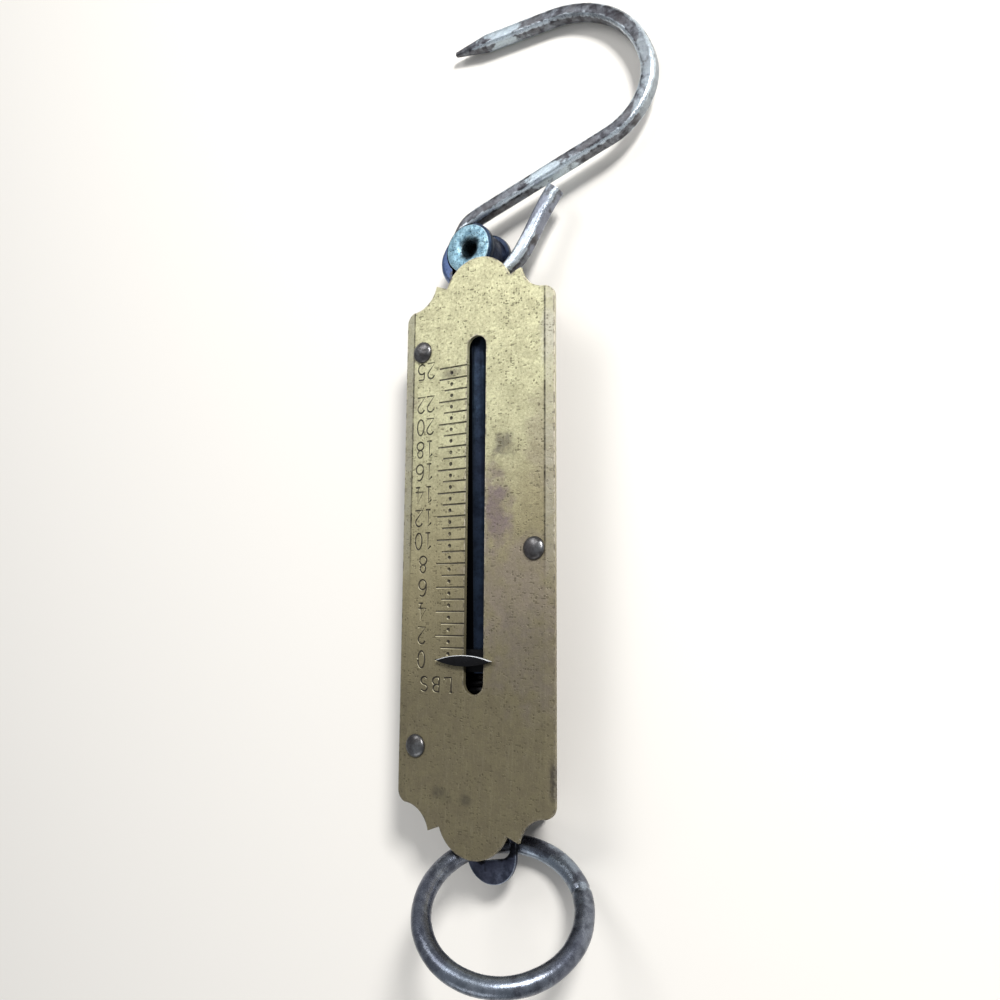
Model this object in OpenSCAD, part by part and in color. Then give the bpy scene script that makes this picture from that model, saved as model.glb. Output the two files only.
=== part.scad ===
// Pocket spring balance: notched brass face plate on a riveted steel back, draw tube with
// fork ears, extension spring, pointer in the slot, S-hook and suspension ring.
// It lies on its back. X runs across the plate, Y towards the hook, Z out of the plate.
// The origin is the centre of the resting face of the back casing. Millimetres.

/* [Face plate] */
// Length of the face plate over its two round lobes
plate_length = 127; // [120:0.5:140]
// Width of the face plate
plate_width = 38.1; // [36:0.1:44]
// Thickness of the brass sheet
plate_thickness = 0.9; // [0.6:0.1:1.2]
// Radius of the convex corners of the plate
plate_corner = 2.6; // [1:0.1:4]
// Length of the straight-sided middle of the plate
shoulder_length = 107.6; // [104:0.2:110]
// Radius of the hollow scoop beside each ear tip
scoop_radius = 6.5; // [5:0.1:7]
// Distance of the scoop's centre from the long edge
scoop_inset = 1.75; // [1:0.05:2.5]
// Rise of an ear tip above the straight shoulder
ear_rise = 5.1; // [4:0.1:6]
// Radius of the round end lobes
lobe_radius = 8.6; // [7.5:0.1:9.5]
// Depth of the notch between an ear tip and the flank of a lobe
notch_inset = 0.5; // [0.3:0.1:1.5]
// Width of the pointer slot
slot_width = 4.9; // [4:0.1:6]
// Length of the slot beyond the last pound
slot_overrun = 6.2; // [4:0.1:8]
// Length of the slot before the zero line
slot_underrun = 6.9; // [5:0.1:9]

/* [Scale] */
// Y of the zero line
zero_y = -24; // [-25:0.1:-22]
// Travel for one pound
pound_pitch = 2.54; // [2.3:0.01:2.6]
// Greatest load on the scale in pounds
capacity_pounds = 25; // [20:1:25]

/* [Plate rivets] */
// Distance of the rivets from the long axis
rivet_x = 14.4; // [13.8:0.1:15.2]
// Y of the rivet nearest the hook
rivet_y_upper = 44; // [38:0.5:48]
// Y of the rivet on the bare side
rivet_y_middle = -1.2; // [-8:0.2:8]
// Y of the rivet nearest the ring
rivet_y_lower = -42; // [-48:0.5:-34]
// Diameter of a rivet shank
rivet_shank = 2.9; // [2.2:0.1:3.4]
// Diameter of a rivet head
rivet_head = 4.9; // [4.2:0.1:5.4]
// Height of a rivet head
rivet_dome = 1.1; // [0.7:0.1:1.6]
// Diameter of the upset tail of a rivet
rivet_tail = 4.2; // [3.4:0.1:4.6]
// Height of the upset tail of a rivet
rivet_tail_height = 0.7; // [0.4:0.1:1.2]

/* [Back casing] */
// Width of the trough outside
trough_width = 21.8; // [21:0.1:23]
// Thickness of the casing sheet
casing_sheet = 0.8; // [0.6:0.1:1]
// Outer radius of the two bent edges of the trough
trough_bend = 3; // [1.5:0.1:4]
// Width over the two flanges
flange_width = 34.8; // [33:0.1:36]
// Length of the two flanges
flange_length = 104; // [100:1:106]
// Y of the open mouth of the casing
casing_mouth = 55; // [52:0.2:56]
// Y of the outside of the end wall
casing_wall = -55.5; // [-57:0.1:-55]

/* [Draw tube] */
// Outer diameter of the draw tube
tube_od = 11.4; // [11:0.1:11.5]
// Wall thickness of the draw tube
tube_wall = 0.8; // [0.5:0.05:0.9]
// Clearance between the tube and the floor of the casing
tube_floor_gap = 0.1; // [0.1:0.05:0.4]
// Clearance between the tube and the face plate
tube_face_gap = 1.2; // [0.8:0.1:3]
// Angle by which the loose tube has swung aside
tube_skew = 2; // [0:0.1:2.2]
// Length of the tube behind the pointer, towards the ring
tube_tail = 2.6; // [2.4:0.1:5]
// Y of the hook end of the tube
tube_end = 56.6; // [54:0.1:57]
// Radius of the two fork ears
ear_radius = 6; // [5.6:0.1:6.2]
// Thickness of a fork ear
ear_thickness = 1.2; // [0.8:0.1:1.5]
// Free gap between the two fork ears
ear_gap = 6.4; // [5.6:0.1:6.6]
// Height of the middle of the ear gap above the tube axis
ear_rise_z = 0.7; // [0.5:0.05:0.9]
// Distance of the hook rivet from the end of the tube
fork_reach = 10.8; // [10.2:0.1:12]
// Length of an ear's neck inside the tube
neck_root = 6; // [4:0.5:10]
// Half width of the neck behind each ear
neck_half = 4.6; // [3.8:0.1:4.8]

/* [Pointer] */
// Length of the pointer bar across the face
pointer_length = 13.9; // [10:0.1:16]
// Greatest width of the pointer bar
pointer_width = 2.3; // [1.6:0.1:3]
// Thickness of the pointer sheet
pointer_sheet = 0.8; // [0.5:0.1:1]
// Shift of the pointer bar towards the scale
pointer_shift = 2; // [0:0.1:3]
// Gap between the face and the pointer bar
pointer_lift = 0.3; // [0.2:0.05:0.6]
// Width of the pointer stem in the slot
stem_width = 2.6; // [1.8:0.1:3]
// Length of the pointer stem along the slot
stem_length = 1.2; // [0.8:0.1:2]
// Height of the pointer foot above the top of the tube
foot_rise = 0.6; // [0.3:0.05:0.7]
// Length of the pointer foot along the tube
foot_length = 4.6; // [3:0.1:5]
// Width of the pointer foot
foot_width = 6; // [4:0.1:7]

/* [Fork bush and hook rivet] */
// Outer diameter of the bush between the ears
bush_od = 10.4; // [9.6:0.1:10.6]
// Outer diameter of the hollow hook rivet
hook_rivet_od = 5.2; // [4.6:0.1:5.8]
// Play of the hook's eye bend on the bush
hook_play = 0.1; // [0.1:0.05:0.5]
// Bore of the hollow hook rivet
hook_rivet_bore = 4; // [3:0.1:4.2]
// Diameter of the flat head of the hook rivet
hook_rivet_head = 11; // [9:0.1:11]
// Thickness of the flat head of the hook rivet
hook_rivet_head_height = 0.5; // [0.3:0.05:0.7]
// Width of the rounded mouth of the bore in the head
hook_rivet_mouth = 5.8; // [4.6:0.1:6]
// Diameter of the rolled rim at the back of the hook rivet
hook_rivet_rim = 6.6; // [6:0.1:7]
// Height of the rolled rim at the back of the hook rivet
hook_rivet_rim_height = 0.4; // [0.2:0.05:0.6]

/* [S-hook] */
// Thickness of the hook bar
hook_bar = 4; // [3.4:0.1:4.2]
// Radius of the small eye bend to the middle of the bar
eye_bend = 8.6; // [8.4:0.1:9.4]
// Direction of the long shank seen from above
shank_angle = 18.3; // [14:0.1:24]
// Length of the straight shank
shank_length = 36.5; // [32:0.5:40]
// Radius of the first part of the big bend
bowl_radius = 13.3; // [12:0.1:16]
// Turn of the first part of the big bend
bowl_turn = 84.4; // [78:0.2:90]
// Radius of the second part of the big bend
crown_radius = 25.7; // [23:0.1:28]
// Turn of the second part of the big bend
crown_turn = 76.7; // [70:0.1:80]
// Length of the straight point arm
arm_length = 17.6; // [12:0.2:20]
// Diameter of the blunted tip of the point
point_tip = 1.2; // [0.6:0.1:2]
// Length of the tapered point
point_length = 9; // [6:0.5:12]
// Direction of the short leg seen from above
leg_angle = 52.1; // [46:0.1:58]
// Length of the short leg
leg_length = 20.2; // [16:0.2:22]
// Droop of the hook from the fork down to the table
hook_droop = 5.2; // [4:0.1:5.3]

/* [Ring hanger and ring] */
// Thickness of the hanger sheet
hanger_sheet = 1; // [0.8:0.1:1.2]
// Width of the hanger tongue
tongue_width = 12; // [11.6:0.1:13]
// Length of the tongue beyond the middle of the ring slot
tongue_reach = 7.8; // [6:0.1:10]
// Width of the hanger head inside the casing
head_width = 17.6; // [16:0.1:18.4]
// Length of the hanger head inside the casing
head_length = 5.9; // [5:0.1:6.6]
// Length of the ring slot in the tongue
ring_slot_length = 9.6; // [9.4:0.1:10.4]
// Width of the ring slot in the tongue
ring_slot_width = 5.7; // [5.5:0.1:7]
// Distance of the middle of the ring slot from the end wall
ring_slot_reach = 6.4; // [6.2:0.1:7.5]
// Wire diameter of the ring
ring_wire = 4.1; // [3.6:0.1:4.2]
// Radius of the ring to the middle of its wire
ring_radius = 15.8; // [15:0.1:17]
// Shift of the ring in its slot towards the scale
ring_shift = 0.7; // [0.5:0.1:0.8]
// Slope of the wire where it passes through the slot
ring_slope = 37.7; // [37:0.1:40]
// Turn of the ring about the upright axis
ring_turn = 11.1; // [9:0.1:12]
// Angle by which the ring is raised from a straight pull
ring_raise = 46.6; // [44:0.1:47]

/* [Main spring] */
// Wire diameter of the spring
spring_wire = 1.4; // [1.2:0.05:1.4]
// Clearance between the spring and the bore of the tube
spring_play = 0.3; // [0.2:0.05:0.6]
// Number of close-wound turns
spring_turns = 46; // [40:1:48]
// Distance of the spring's hole from the inner end of the hanger head
spring_hole_inset = 2.8; // [2.2:0.1:3.2]
// Gap between an end loop and the coil
loop_gap = 0.4; // [0:0.1:1]
// Radius of the end loops to the middle of the wire
loop_radius = 3; // [2.8:0.1:3.2]
// Diameter of the anchor pin across the tube
anchor_pin = 2.4; // [2:0.1:2.6]

/* [Hidden] */
// Clearance of a fastener in its hole
fit = 0.05;
// Clearance of a loose piece in its opening
loose = 0.15;
// Extra length with which a cut passes a face
past = 1;
// Depth by which two shapes of one sheet run into each other
bite = 0.1;
// Extra width of the hole for the spring's end loop
hole_play = 0.5;
// Shift of the pointer's stem to the middle of the slot
stem_shift = 0.4;
// Depth of the pointer's foot below the top of the tube
foot_drop = 1.2;
// Gap inside a joint of the hook bar, between two straight lengths
joint_gap = 0.1;
// Gap inside a joint of the hook bar after a bend, in degrees
bend_gap = 0.3;
// Height of the collar that covers a joint of the hook bar
joint_swell = 0.04;
$fn = 48;

tube_radius = tube_od / 2;
tube_bore = tube_od - 2 * tube_wall;
axis_z = casing_sheet + tube_floor_gap + tube_radius;
plate_z = axis_z + tube_radius + tube_face_gap;
body_depth = plate_z + plate_thickness;
hook_z = axis_z + ear_rise_z;
spring_od = tube_bore - 2 * spring_play;
flange_z = plate_z - casing_sheet;
trough_inside = trough_width / 2 - casing_sheet;
bend_inside = trough_bend - casing_sheet;
casing_length = casing_mouth - casing_wall;
wall_inside = casing_wall + casing_sheet;
scoop_x = plate_width / 2 - scoop_inset;
scoop_y = shoulder_length / 2 + scoop_radius - bite;
ear_reach = shoulder_length / 2 + ear_rise;
ear_tip_x = scoop_x - sqrt(pow(scoop_radius, 2) - pow(scoop_y - ear_reach, 2));
lobe_y = plate_length / 2 - lobe_radius;
notch_x = lobe_radius - notch_inset;
notch_y = lobe_y + sqrt(pow(lobe_radius, 2) - pow(notch_x, 2));
slot_top = zero_y + capacity_pounds * pound_pitch + slot_overrun;
slot_bottom = zero_y - slot_underrun;
tube_start = zero_y - tube_tail;
fork_y = tube_end + fork_reach;
ring_y = casing_wall - ring_slot_reach;
tongue_end = ring_y - tongue_reach;
hanger_z = axis_z - hanger_sheet / 2;
spring_hole = spring_wire + hole_play;
spring_mean = (spring_od - spring_wire) / 2;
spring_eye_y = wall_inside + head_length - spring_hole_inset;
coil_start = 2 * loop_radius + loop_gap;
coil_length = spring_wire * spring_turns;
far_loop = coil_start + coil_length + loop_radius + loop_gap;
anchor_y = far_loop + loop_radius - (spring_wire + anchor_pin) / 2 - fit;
pointer_z = body_depth + pointer_lift;
tube_x_at_zero = (zero_y - spring_eye_y) * tan(tube_skew);
ear_front_z = hook_z + ear_gap / 2;
ear_back_z = hook_z - ear_gap / 2 - ear_thickness;
fork_x = -(fork_y - spring_eye_y) * sin(tube_skew);
pin_y = spring_eye_y + (fork_y - spring_eye_y) * cos(tube_skew);
eye_offset = eye_bend - (hook_bar + bush_od) / 2 - hook_play;
eye_sweep = 180 + leg_angle - shank_angle;

// Turns a piece of the draw gear aside about the hole that holds the spring
module swung_aside() {
  translate([0, spring_eye_y, 0])
    rotate([0, 0, tube_skew])
      translate([0, -spring_eye_y, 0])
        children();
}

// Lays a shape that was drawn upright along Y, from y on
module along_y(y) {
  translate([0, y, axis_z])
    rotate([-90, 0, 0])
      children();
}

// Upright cylinder through the sheet that lies at height z
module disc(x, y, radius, z, height) {
  translate([x, y, z])
    cylinder(r = radius, h = height, $fn = 96);
}

module plate_end() {
  disc(0, lobe_y, lobe_radius, plate_z, plate_thickness);
  translate([0, 0, plate_z])
    linear_extrude(plate_thickness)
      polygon([
        [-scoop_x, 0],
        [-scoop_x, ear_reach],
        [-ear_tip_x, ear_reach],
        [-notch_x, notch_y],
        [notch_x, notch_y],
        [ear_tip_x, ear_reach],
        [scoop_x, ear_reach],
        [scoop_x, 0]
      ]);
}

module plate_blank() {
  corner_x = plate_width / 2 - plate_corner;
  corner_y = shoulder_length / 2 - plate_corner;
  translate([-plate_width / 2, -corner_y, plate_z])
    cube([plate_width, 2 * corner_y, plate_thickness]);
  translate([-corner_x, -shoulder_length / 2, plate_z])
    cube([2 * corner_x, shoulder_length, plate_thickness]);
  for (x = [-1, 1], y = [-1, 1])
    disc(x * corner_x, y * corner_y, plate_corner, plate_z, plate_thickness);
  plate_end();
  mirror([0, 1, 0])
    plate_end();
}

module rivet_holes(z, height) {
  for (spot = [[-rivet_x, rivet_y_upper], [rivet_x, rivet_y_middle], [-rivet_x, rivet_y_lower]])
    disc(spot[0], spot[1], rivet_shank / 2 + fit, z - past, height + 2 * past);
}

module slot_cut() {
  slot_end = slot_width / 2;
  translate([-slot_end, slot_bottom + slot_end, plate_z - past])
    cube([slot_width, slot_top - slot_bottom - slot_width, plate_thickness + 2 * past]);
  for (y = [slot_bottom + slot_end, slot_top - slot_end])
    disc(0, y, slot_end, plate_z - past, plate_thickness + 2 * past);
}

module face_plate() {
  color([0.62, 0.58, 0.38])
    difference() {
      plate_blank();
      for (x = [-1, 1], y = [-1, 1])
        disc(x * scoop_x, y * scoop_y, scoop_radius, plate_z - past, plate_thickness + 2 * past);
      slot_cut();
      rivet_holes(plate_z, plate_thickness);
    }
}

module trough_section(half, bend, floor_z, top_z) {
  translate([-half, floor_z + bend])
    square([2 * half, top_z - floor_z - bend]);
  translate([bend - half, floor_z])
    square([2 * (half - bend), bend + fit]);
  for (side = [-1, 1])
    translate([side * (half - bend), floor_z + bend])
      circle(r = bend);
}

// Slab with the section of the trough that ends at y
module trough_slab(y, length, half, bend, floor_z, top_z) {
  translate([0, y, 0])
    rotate([90, 0, 0])
      linear_extrude(length)
        trough_section(half, bend, floor_z, top_z);
}

module back_casing() {
  color([0.3, 0.31, 0.33])
    difference() {
      union() {
        trough_slab(casing_mouth, casing_length, trough_width / 2, trough_bend, 0, plate_z);
        translate([-flange_width / 2, -flange_length / 2, flange_z])
          cube([flange_width, flange_length, casing_sheet]);
      }
      trough_slab(
        casing_mouth + past, casing_mouth + past - wall_inside,
        trough_inside, bend_inside, casing_sheet, plate_z + past
      );
      translate([0, casing_wall + casing_sheet / 2, axis_z])
        cube(
          [tongue_width + 2 * loose, casing_sheet + 2 * past, hanger_sheet + 2 * loose],
          center = true
        );
      rivet_holes(flange_z, casing_sheet);
    }
}

module plate_rivet(x, y) {
  dome = (pow(rivet_head / 2, 2) + pow(rivet_dome, 2)) / (2 * rivet_dome);
  color([0.55, 0.55, 0.56])
    translate([x, y, 0]) {
      translate([0, 0, flange_z - rivet_tail_height])
        cylinder(d = rivet_tail, h = rivet_tail_height);
      translate([0, 0, flange_z - fit])
        cylinder(d = rivet_shank, h = body_depth - flange_z + 2 * fit);
      intersection() {
        translate([0, 0, body_depth + rivet_dome - dome])
          sphere(r = dome);
        translate([0, 0, body_depth])
          cylinder(d = rivet_head, h = rivet_dome + past);
      }
    }
}

module rivet_upper() {
  plate_rivet(-rivet_x, rivet_y_upper);
}

module rivet_middle() {
  plate_rivet(rivet_x, rivet_y_middle);
}

module rivet_lower() {
  plate_rivet(-rivet_x, rivet_y_lower);
}

// One flat ear of the fork with its neck running back into the tube
module fork_ear(z) {
  translate([0, 0, z])
    linear_extrude(ear_thickness)
      difference() {
        union() {
          translate([0, fork_y])
            circle(r = ear_radius);
          translate([-neck_half, tube_end - neck_root])
            square([2 * neck_half, fork_reach + neck_root]);
        }
        translate([0, fork_y])
          circle(d = hook_rivet_od + 2 * fit);
      }
}

module draw_tube() {
  color([0.16, 0.2, 0.32])
    swung_aside()
      difference() {
        union() {
          difference() {
            along_y(tube_start)
              cylinder(d = tube_od, h = tube_end - tube_start);
            along_y(tube_start - past)
              cylinder(d = tube_bore, h = tube_end - tube_start + 2 * past);
          }
          intersection() {
            union() {
              fork_ear(ear_front_z);
              fork_ear(ear_back_z);
            }
            union() {
              along_y(tube_start)
                cylinder(d = tube_od, h = tube_end - tube_start);
              translate([-ear_radius - past, tube_end - bite, 0])
                cube([2 * (ear_radius + past), fork_reach + ear_radius + past, plate_z]);
            }
          }
        }
        translate([-tube_radius - past, spring_eye_y + anchor_y, axis_z])
          rotate([0, 90, 0])
            cylinder(d = anchor_pin + 2 * fit, h = tube_od + 2 * past);
      }
}

module pointer() {
  lens = (pow(pointer_length / 2, 2) + pow(pointer_width / 2, 2)) / pointer_width;
  stem_x = stem_shift - tube_x_at_zero;
  color([0.5, 0.5, 0.5])
    difference() {
      union() {
        translate([-pointer_shift, zero_y, pointer_z])
          linear_extrude(pointer_sheet)
            intersection() {
              translate([0, lens - pointer_width / 2])
                circle(r = lens, $fn = 180);
              translate([0, pointer_width / 2 - lens])
                circle(r = lens, $fn = 180);
            }
        translate([stem_x - stem_width / 2, zero_y - stem_length / 2, axis_z + tube_radius])
          cube([stem_width, stem_length, pointer_z + fit - axis_z - tube_radius]);
        translate([-tube_x_at_zero - foot_width / 2, zero_y - foot_length / 2, axis_z])
          cube([foot_width, foot_length, tube_radius + foot_rise]);
      }
      swung_aside()
        along_y(zero_y - foot_length)
          cylinder(d = tube_od, h = 2 * foot_length);
      translate([-foot_width, zero_y - foot_length, 0])
        cube([2 * foot_width, 2 * foot_length, axis_z + tube_radius - foot_drop]);
    }
}

module anchor_pin() {
  color([0.42, 0.42, 0.44])
    swung_aside()
      translate([-tube_radius, spring_eye_y + anchor_y, axis_z])
        rotate([0, 90, 0])
          cylinder(d = anchor_pin, h = tube_od);
}

module spring_loop(y) {
  translate([0, y, axis_z])
    rotate([0, 90, 0])
      rotate_extrude()
        translate([loop_radius, 0])
          circle(d = spring_wire, $fn = 24);
}

// Close-wound coil drawn as a tube with one crossed turn and one loop at each end
module main_spring() {
  color([0.2, 0.2, 0.24])
    swung_aside() {
      difference() {
        along_y(spring_eye_y + coil_start)
          cylinder(d = spring_od, h = coil_length);
        along_y(spring_eye_y + coil_start + spring_wire)
          cylinder(d = spring_od - 2 * spring_wire, h = coil_length - 2 * spring_wire);
      }
      spring_loop(spring_eye_y + loop_radius);
      spring_loop(spring_eye_y + far_loop);
    }
}

module ring_hanger() {
  color([0.25, 0.28, 0.34])
    translate([0, 0, hanger_z])
      linear_extrude(hanger_sheet)
        difference() {
          union() {
            translate([0, tongue_end + tongue_width / 2])
              circle(d = tongue_width);
            translate([-tongue_width / 2, tongue_end + tongue_width / 2])
              square([tongue_width, wall_inside - tongue_end - tongue_width / 2 + fit]);
            translate([-head_width / 2, wall_inside])
              square([head_width, head_length]);
          }
          translate([0, spring_eye_y])
            circle(d = spring_hole);
          translate([0, ring_y])
            rotate(ring_turn) {
              square([ring_slot_length - ring_slot_width, ring_slot_width], center = true);
              for (side = [-1, 1])
                translate([side * (ring_slot_length - ring_slot_width) / 2, 0])
                  circle(d = ring_slot_width);
            }
        }
}

module suspension_ring() {
  color([0.6, 0.6, 0.62])
    translate([-ring_shift, ring_y, axis_z])
      rotate([0, 0, ring_turn])
        rotate([0, ring_slope, 0])
          rotate([-ring_raise, 0, 0])
            translate([0, -ring_radius, 0])
              rotate_extrude($fn = 96)
                translate([ring_radius, 0])
                  circle(d = ring_wire, $fn = 32);
}

module fork_bush() {
  color([0.35, 0.34, 0.33])
    translate([fork_x, pin_y, hook_z - ear_gap / 2 + fit])
      difference() {
        cylinder(d = bush_od, h = ear_gap - 2 * fit);
        translate([0, 0, -past])
          cylinder(d = hook_rivet_od + 2 * fit, h = ear_gap + 2 * past);
      }
}

module hook_rivet() {
  grip = ear_gap + 2 * ear_thickness;
  color([0.45, 0.5, 0.52])
    translate([fork_x, pin_y, ear_back_z])
      difference() {
        union() {
          cylinder(d = hook_rivet_od, h = grip);
          translate([0, 0, -hook_rivet_rim_height])
            cylinder(d = hook_rivet_rim, h = hook_rivet_rim_height);
          translate([0, 0, grip])
            cylinder(d = hook_rivet_head, h = hook_rivet_head_height);
        }
        translate([0, 0, -past])
          cylinder(d = hook_rivet_bore, h = grip + 2 * past);
        translate([0, 0, grip])
          cylinder(d1 = hook_rivet_bore, d2 = hook_rivet_mouth, h = hook_rivet_head_height);
      }
}

// Straight bar from the local origin along local X, short of the joint at both ends
module hook_straight(length) {
  hook_joint();
  translate([joint_gap, 0, 0])
    rotate([90, 0, 90])
      linear_extrude(length - 2 * joint_gap)
        circle(d = hook_bar, $fn = 32);
}

// Faint collar over the place where two lengths of the bar meet
module hook_joint() {
  translate([-3 * joint_gap, 0, 0])
    rotate([0, 90, 0])
      cylinder(r = hook_bar / 2 + joint_swell, h = 6 * joint_gap);
}

// Bend that starts along local X and turns left through an angle
module hook_bend(radius, turn) {
  translate([0, radius, 0])
    rotate([0, 0, -90])
      rotate_extrude(angle = turn, $fn = 128)
        translate([radius, 0])
          circle(d = hook_bar, $fn = 32);
}

// Moves to the end of a bend that was drawn from the local origin
module after_bend(radius, turn) {
  translate([radius * sin(turn), radius * (1 - cos(turn)), 0])
    rotate([0, 0, turn])
      children();
}

module s_hook() {
  color([0.42, 0.38, 0.35])
    translate([fork_x, pin_y, hook_z])
      rotate([-hook_droop, 0, 0])
        translate([0, eye_offset, 0])
          rotate([0, 0, shank_angle])
            translate([0, eye_bend, 0]) {
              hook_straight(shank_length);
              translate([shank_length, 0, 0]) {
                hook_joint();
                hook_bend(bowl_radius, bowl_turn - bend_gap);
                after_bend(bowl_radius, bowl_turn) {
                  hook_joint();
                  hook_bend(crown_radius, crown_turn - bend_gap);
                  after_bend(crown_radius, crown_turn) {
                    hook_straight(arm_length);
                    translate([arm_length, 0, 0]) {
                      hook_joint();
                      translate([joint_gap, 0, 0])
                        rotate([0, 90, 0])
                          cylinder(d1 = hook_bar, d2 = point_tip, h = point_length);
                    }
                  }
                }
              }
              rotate([0, 0, 180])
                hook_bend(eye_bend, eye_sweep);
              rotate([0, 0, 180])
                after_bend(eye_bend, eye_sweep)
                  hook_straight(leg_length);
            }
}

face_plate();
back_casing();
rivet_upper();
rivet_middle();
rivet_lower();
draw_tube();
pointer();
anchor_pin();
main_spring();
ring_hanger();
suspension_ring();
fork_bush();
hook_rivet();
s_hook();
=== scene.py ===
# %% [markdown]
# # A pocket spring balance in brass and steel
# The balance lies on its back with its S-hook at the far end and its ring at the near end.
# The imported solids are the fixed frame: every new piece is modelled in the same place as the
# solid that it stands for, in metres, with X across the brass face, Y towards the hook and Z
# up. Some pieces are new meshes, such as the hook and the ring, and some are the solids' own
# meshes with softened edges. The first step loads the frame and keeps its outer size.

# %% Load the frame
import math

import bmesh
import bpy
from mathutils import Matrix, Vector, noise


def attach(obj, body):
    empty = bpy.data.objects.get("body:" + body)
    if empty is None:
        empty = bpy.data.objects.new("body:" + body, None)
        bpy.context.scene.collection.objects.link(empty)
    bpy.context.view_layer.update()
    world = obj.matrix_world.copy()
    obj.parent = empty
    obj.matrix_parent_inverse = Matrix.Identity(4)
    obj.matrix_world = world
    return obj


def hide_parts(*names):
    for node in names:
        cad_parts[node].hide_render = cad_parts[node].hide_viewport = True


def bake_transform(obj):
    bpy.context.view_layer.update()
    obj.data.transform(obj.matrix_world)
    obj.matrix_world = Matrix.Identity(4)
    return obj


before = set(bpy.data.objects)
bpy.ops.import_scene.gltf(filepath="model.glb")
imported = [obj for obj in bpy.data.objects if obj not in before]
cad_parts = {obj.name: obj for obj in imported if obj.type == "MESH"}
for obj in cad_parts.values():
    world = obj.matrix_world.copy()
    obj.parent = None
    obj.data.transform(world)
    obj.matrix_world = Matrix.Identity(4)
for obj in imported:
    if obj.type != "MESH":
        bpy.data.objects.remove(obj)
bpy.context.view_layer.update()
MM = 0.001

# %% [markdown]
# ## Camera
# The photograph was taken by hand, close to the balance, so near parts look larger. A long
# lens would flatten that. The place, turn and lens below were fitted to the stamped scale and
# the corners of the plate, and they give the photograph's own perspective.

# %% Camera
lens_data = bpy.data.cameras.new("photo_camera")
lens_data.lens = 32.807
lens_data.sensor_width = 36.0
lens_data.clip_start = 0.01
camera = bpy.data.objects.new("photo_camera", lens_data)
camera.location = (0.105337, -0.017329, 0.173742)
camera.rotation_euler = [math.radians(turn) for turn in (8.265, 31.825, 0.445)]
bpy.context.scene.collection.objects.link(camera)
bpy.context.scene.camera = camera
print("camera", round(camera.location.length / MM, 1), "mm from the middle of the back")

# %% [markdown]
# ## Colours and small helpers
# A colour is easiest to judge as the screen shows it, from 0 to 255, but shaders work in
# linear light, so one helper turns the first into the second. Materials here are built from
# nodes in the script, so further helpers add a node and join its inputs in one line.


# %% Helpers for colours and nodes
def screen_colour(red, green, blue):
    """A colour written as the screen shows it, as linear light with full alpha."""
    linear = []
    for level in (red / 255, green / 255, blue / 255):
        linear.append(level / 12.92 if level <= 0.04045 else ((level + 0.055) / 1.055) ** 2.4)
    return (*linear, 1.0)


def feed(tree, node, inputs):
    """Sets a node's inputs, each to a plain value or to another node's output socket."""
    for socket, value in inputs.items():
        if isinstance(value, bpy.types.NodeSocket):
            tree.links.new(value, node.inputs[socket])
        else:
            node.inputs[socket].default_value = value


def add_node(tree, kind, inputs=None, **settings):
    made = tree.nodes.new(kind)
    for name, value in settings.items():
        setattr(made, name, value)
    feed(tree, made, inputs or {})
    return made


def add_math(tree, operation, first, second=0.0, third=0.0, clamp=False):
    """A Math node's output."""
    made = add_node(tree, "ShaderNodeMath", {0: first, 1: second, 2: third}, operation=operation)
    made.use_clamp = clamp
    return made.outputs[0]


def add_ramp(tree, factor, low, high):
    """A smooth step from 0 at low to 1 at high."""
    made = add_node(tree, "ShaderNodeMapRange",
                    {"Value": factor, "From Min": low, "From Max": high},
                    interpolation_type="SMOOTHSTEP")
    return made.outputs["Result"]


def add_mix(tree, factor, first, second):
    """A colour mix; sockets 6 and 7 of the node are its two colours."""
    made = add_node(tree, "ShaderNodeMix", {0: factor, 6: first, 7: second}, data_type="RGBA")
    return made.outputs[2]


def add_coat(tree, tone, mask, share, colour):
    """Lays a share of a colour over a tone where a mask is."""
    return add_mix(tree, add_math(tree, "MULTIPLY", mask, share), tone, colour)


print("mid grey", [round(level, 3) for level in screen_colour(128, 128, 128)])

# %% [markdown]
# ## Floor and light
# A plain pale floor under the balance takes its shadow. The light is a soft sky and three
# lamps: a large one beyond the hook to the left, which the brass mirrors at its far end and
# the rivet heads show as a spark at their upper left, a small one from the right that throws
# the shadow to the left, and a weak one from the near side.

# %% Floor, sky and lamps
scene = bpy.context.scene
scene.view_settings.view_transform = "Standard"

floor_shape = bmesh.new()
bmesh.ops.create_grid(floor_shape, x_segments=1, y_segments=1, size=3.0)
floor_mesh = bpy.data.meshes.new("floor")
floor_shape.to_mesh(floor_mesh)
floor_shape.free()
floor = bpy.data.objects.new("floor", floor_mesh)
scene.collection.objects.link(floor)

floor_finish = bpy.data.materials.new("pale floor")
floor_finish.use_nodes = True
feed(floor_finish.node_tree, floor_finish.node_tree.nodes["Principled BSDF"],
     {"Base Color": screen_colour(232, 228, 221), "Roughness": 0.75})
floor_mesh.materials.append(floor_finish)

sky = bpy.data.worlds.new("soft sky")
sky.use_nodes = True
feed(sky.node_tree, sky.node_tree.nodes["Background"],
     {"Color": screen_colour(226, 230, 236), "Strength": 0.40})
scene.world = sky

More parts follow.
